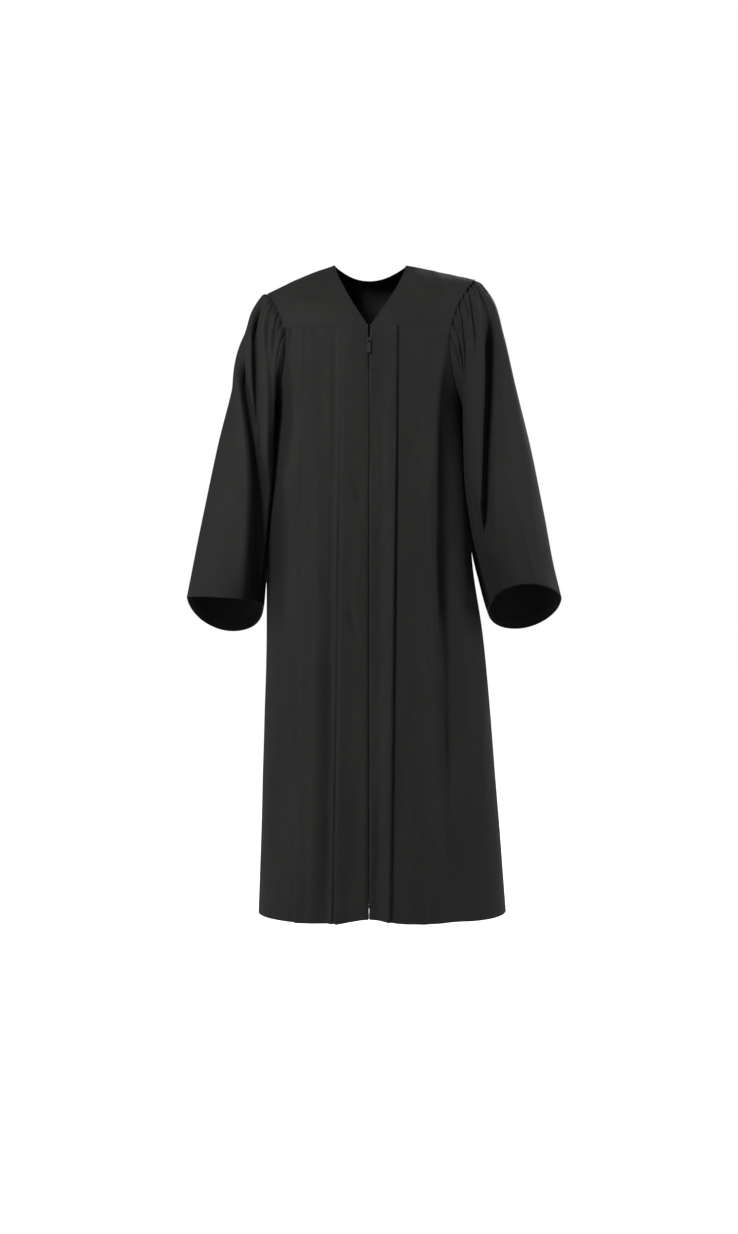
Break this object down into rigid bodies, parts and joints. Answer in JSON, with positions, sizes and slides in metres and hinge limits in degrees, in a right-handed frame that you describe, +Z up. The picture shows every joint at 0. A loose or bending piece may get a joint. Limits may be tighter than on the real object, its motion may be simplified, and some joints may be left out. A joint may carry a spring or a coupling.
{
  "type": "graduation gown",
  "caption": "Ankle-length black graduation gown with a V neck, yoked and pleated fronts, fluted back, gathered bell sleeves and a full front zip, in its worn hollow form",
  "frame": {"origin": "centre of the neck opening, level with the highest points of the shoulders, where the wearer's shoulders hold the gown up", "axes": "+Z up, the front faces -Y, +X is the wearer's left"},
  "size_m": [0.7362, 0.4099, 1.2659],
  "materials": {
    "cloth": "matte black woven polyester with a faint sheen",
    "zip_tape": "matte black woven tape",
    "zip_coil": "black nylon coil, satin",
    "zip_metal": "black enamel on cast zinc, semi-gloss"
  },
  "bodies": {
    "gown": {"front_yoke_left": "cloth", "front_yoke_right": "cloth", "back_yoke": "cloth", "front_left": "cloth", "front_right": "cloth", "back": "cloth", "sleeve_left": "cloth", "sleeve_right": "cloth", "zip_tape_left": "zip_tape", "zip_tape_right": "zip_tape", "zip_chain": "zip_coil", "zip_stop": "zip_coil", "zip_slider": "zip_metal"},
    "pull": {"zip_pull": "zip_metal"}
  },
  "joints": [
    {"name": "pull_flip", "type": "hinge", "parent": "gown", "child": "pull", "pos_m": [0, -0.13295, -0.15603], "axis": [-1, 0, 0], "range_deg": [0, 150]}
  ]
}
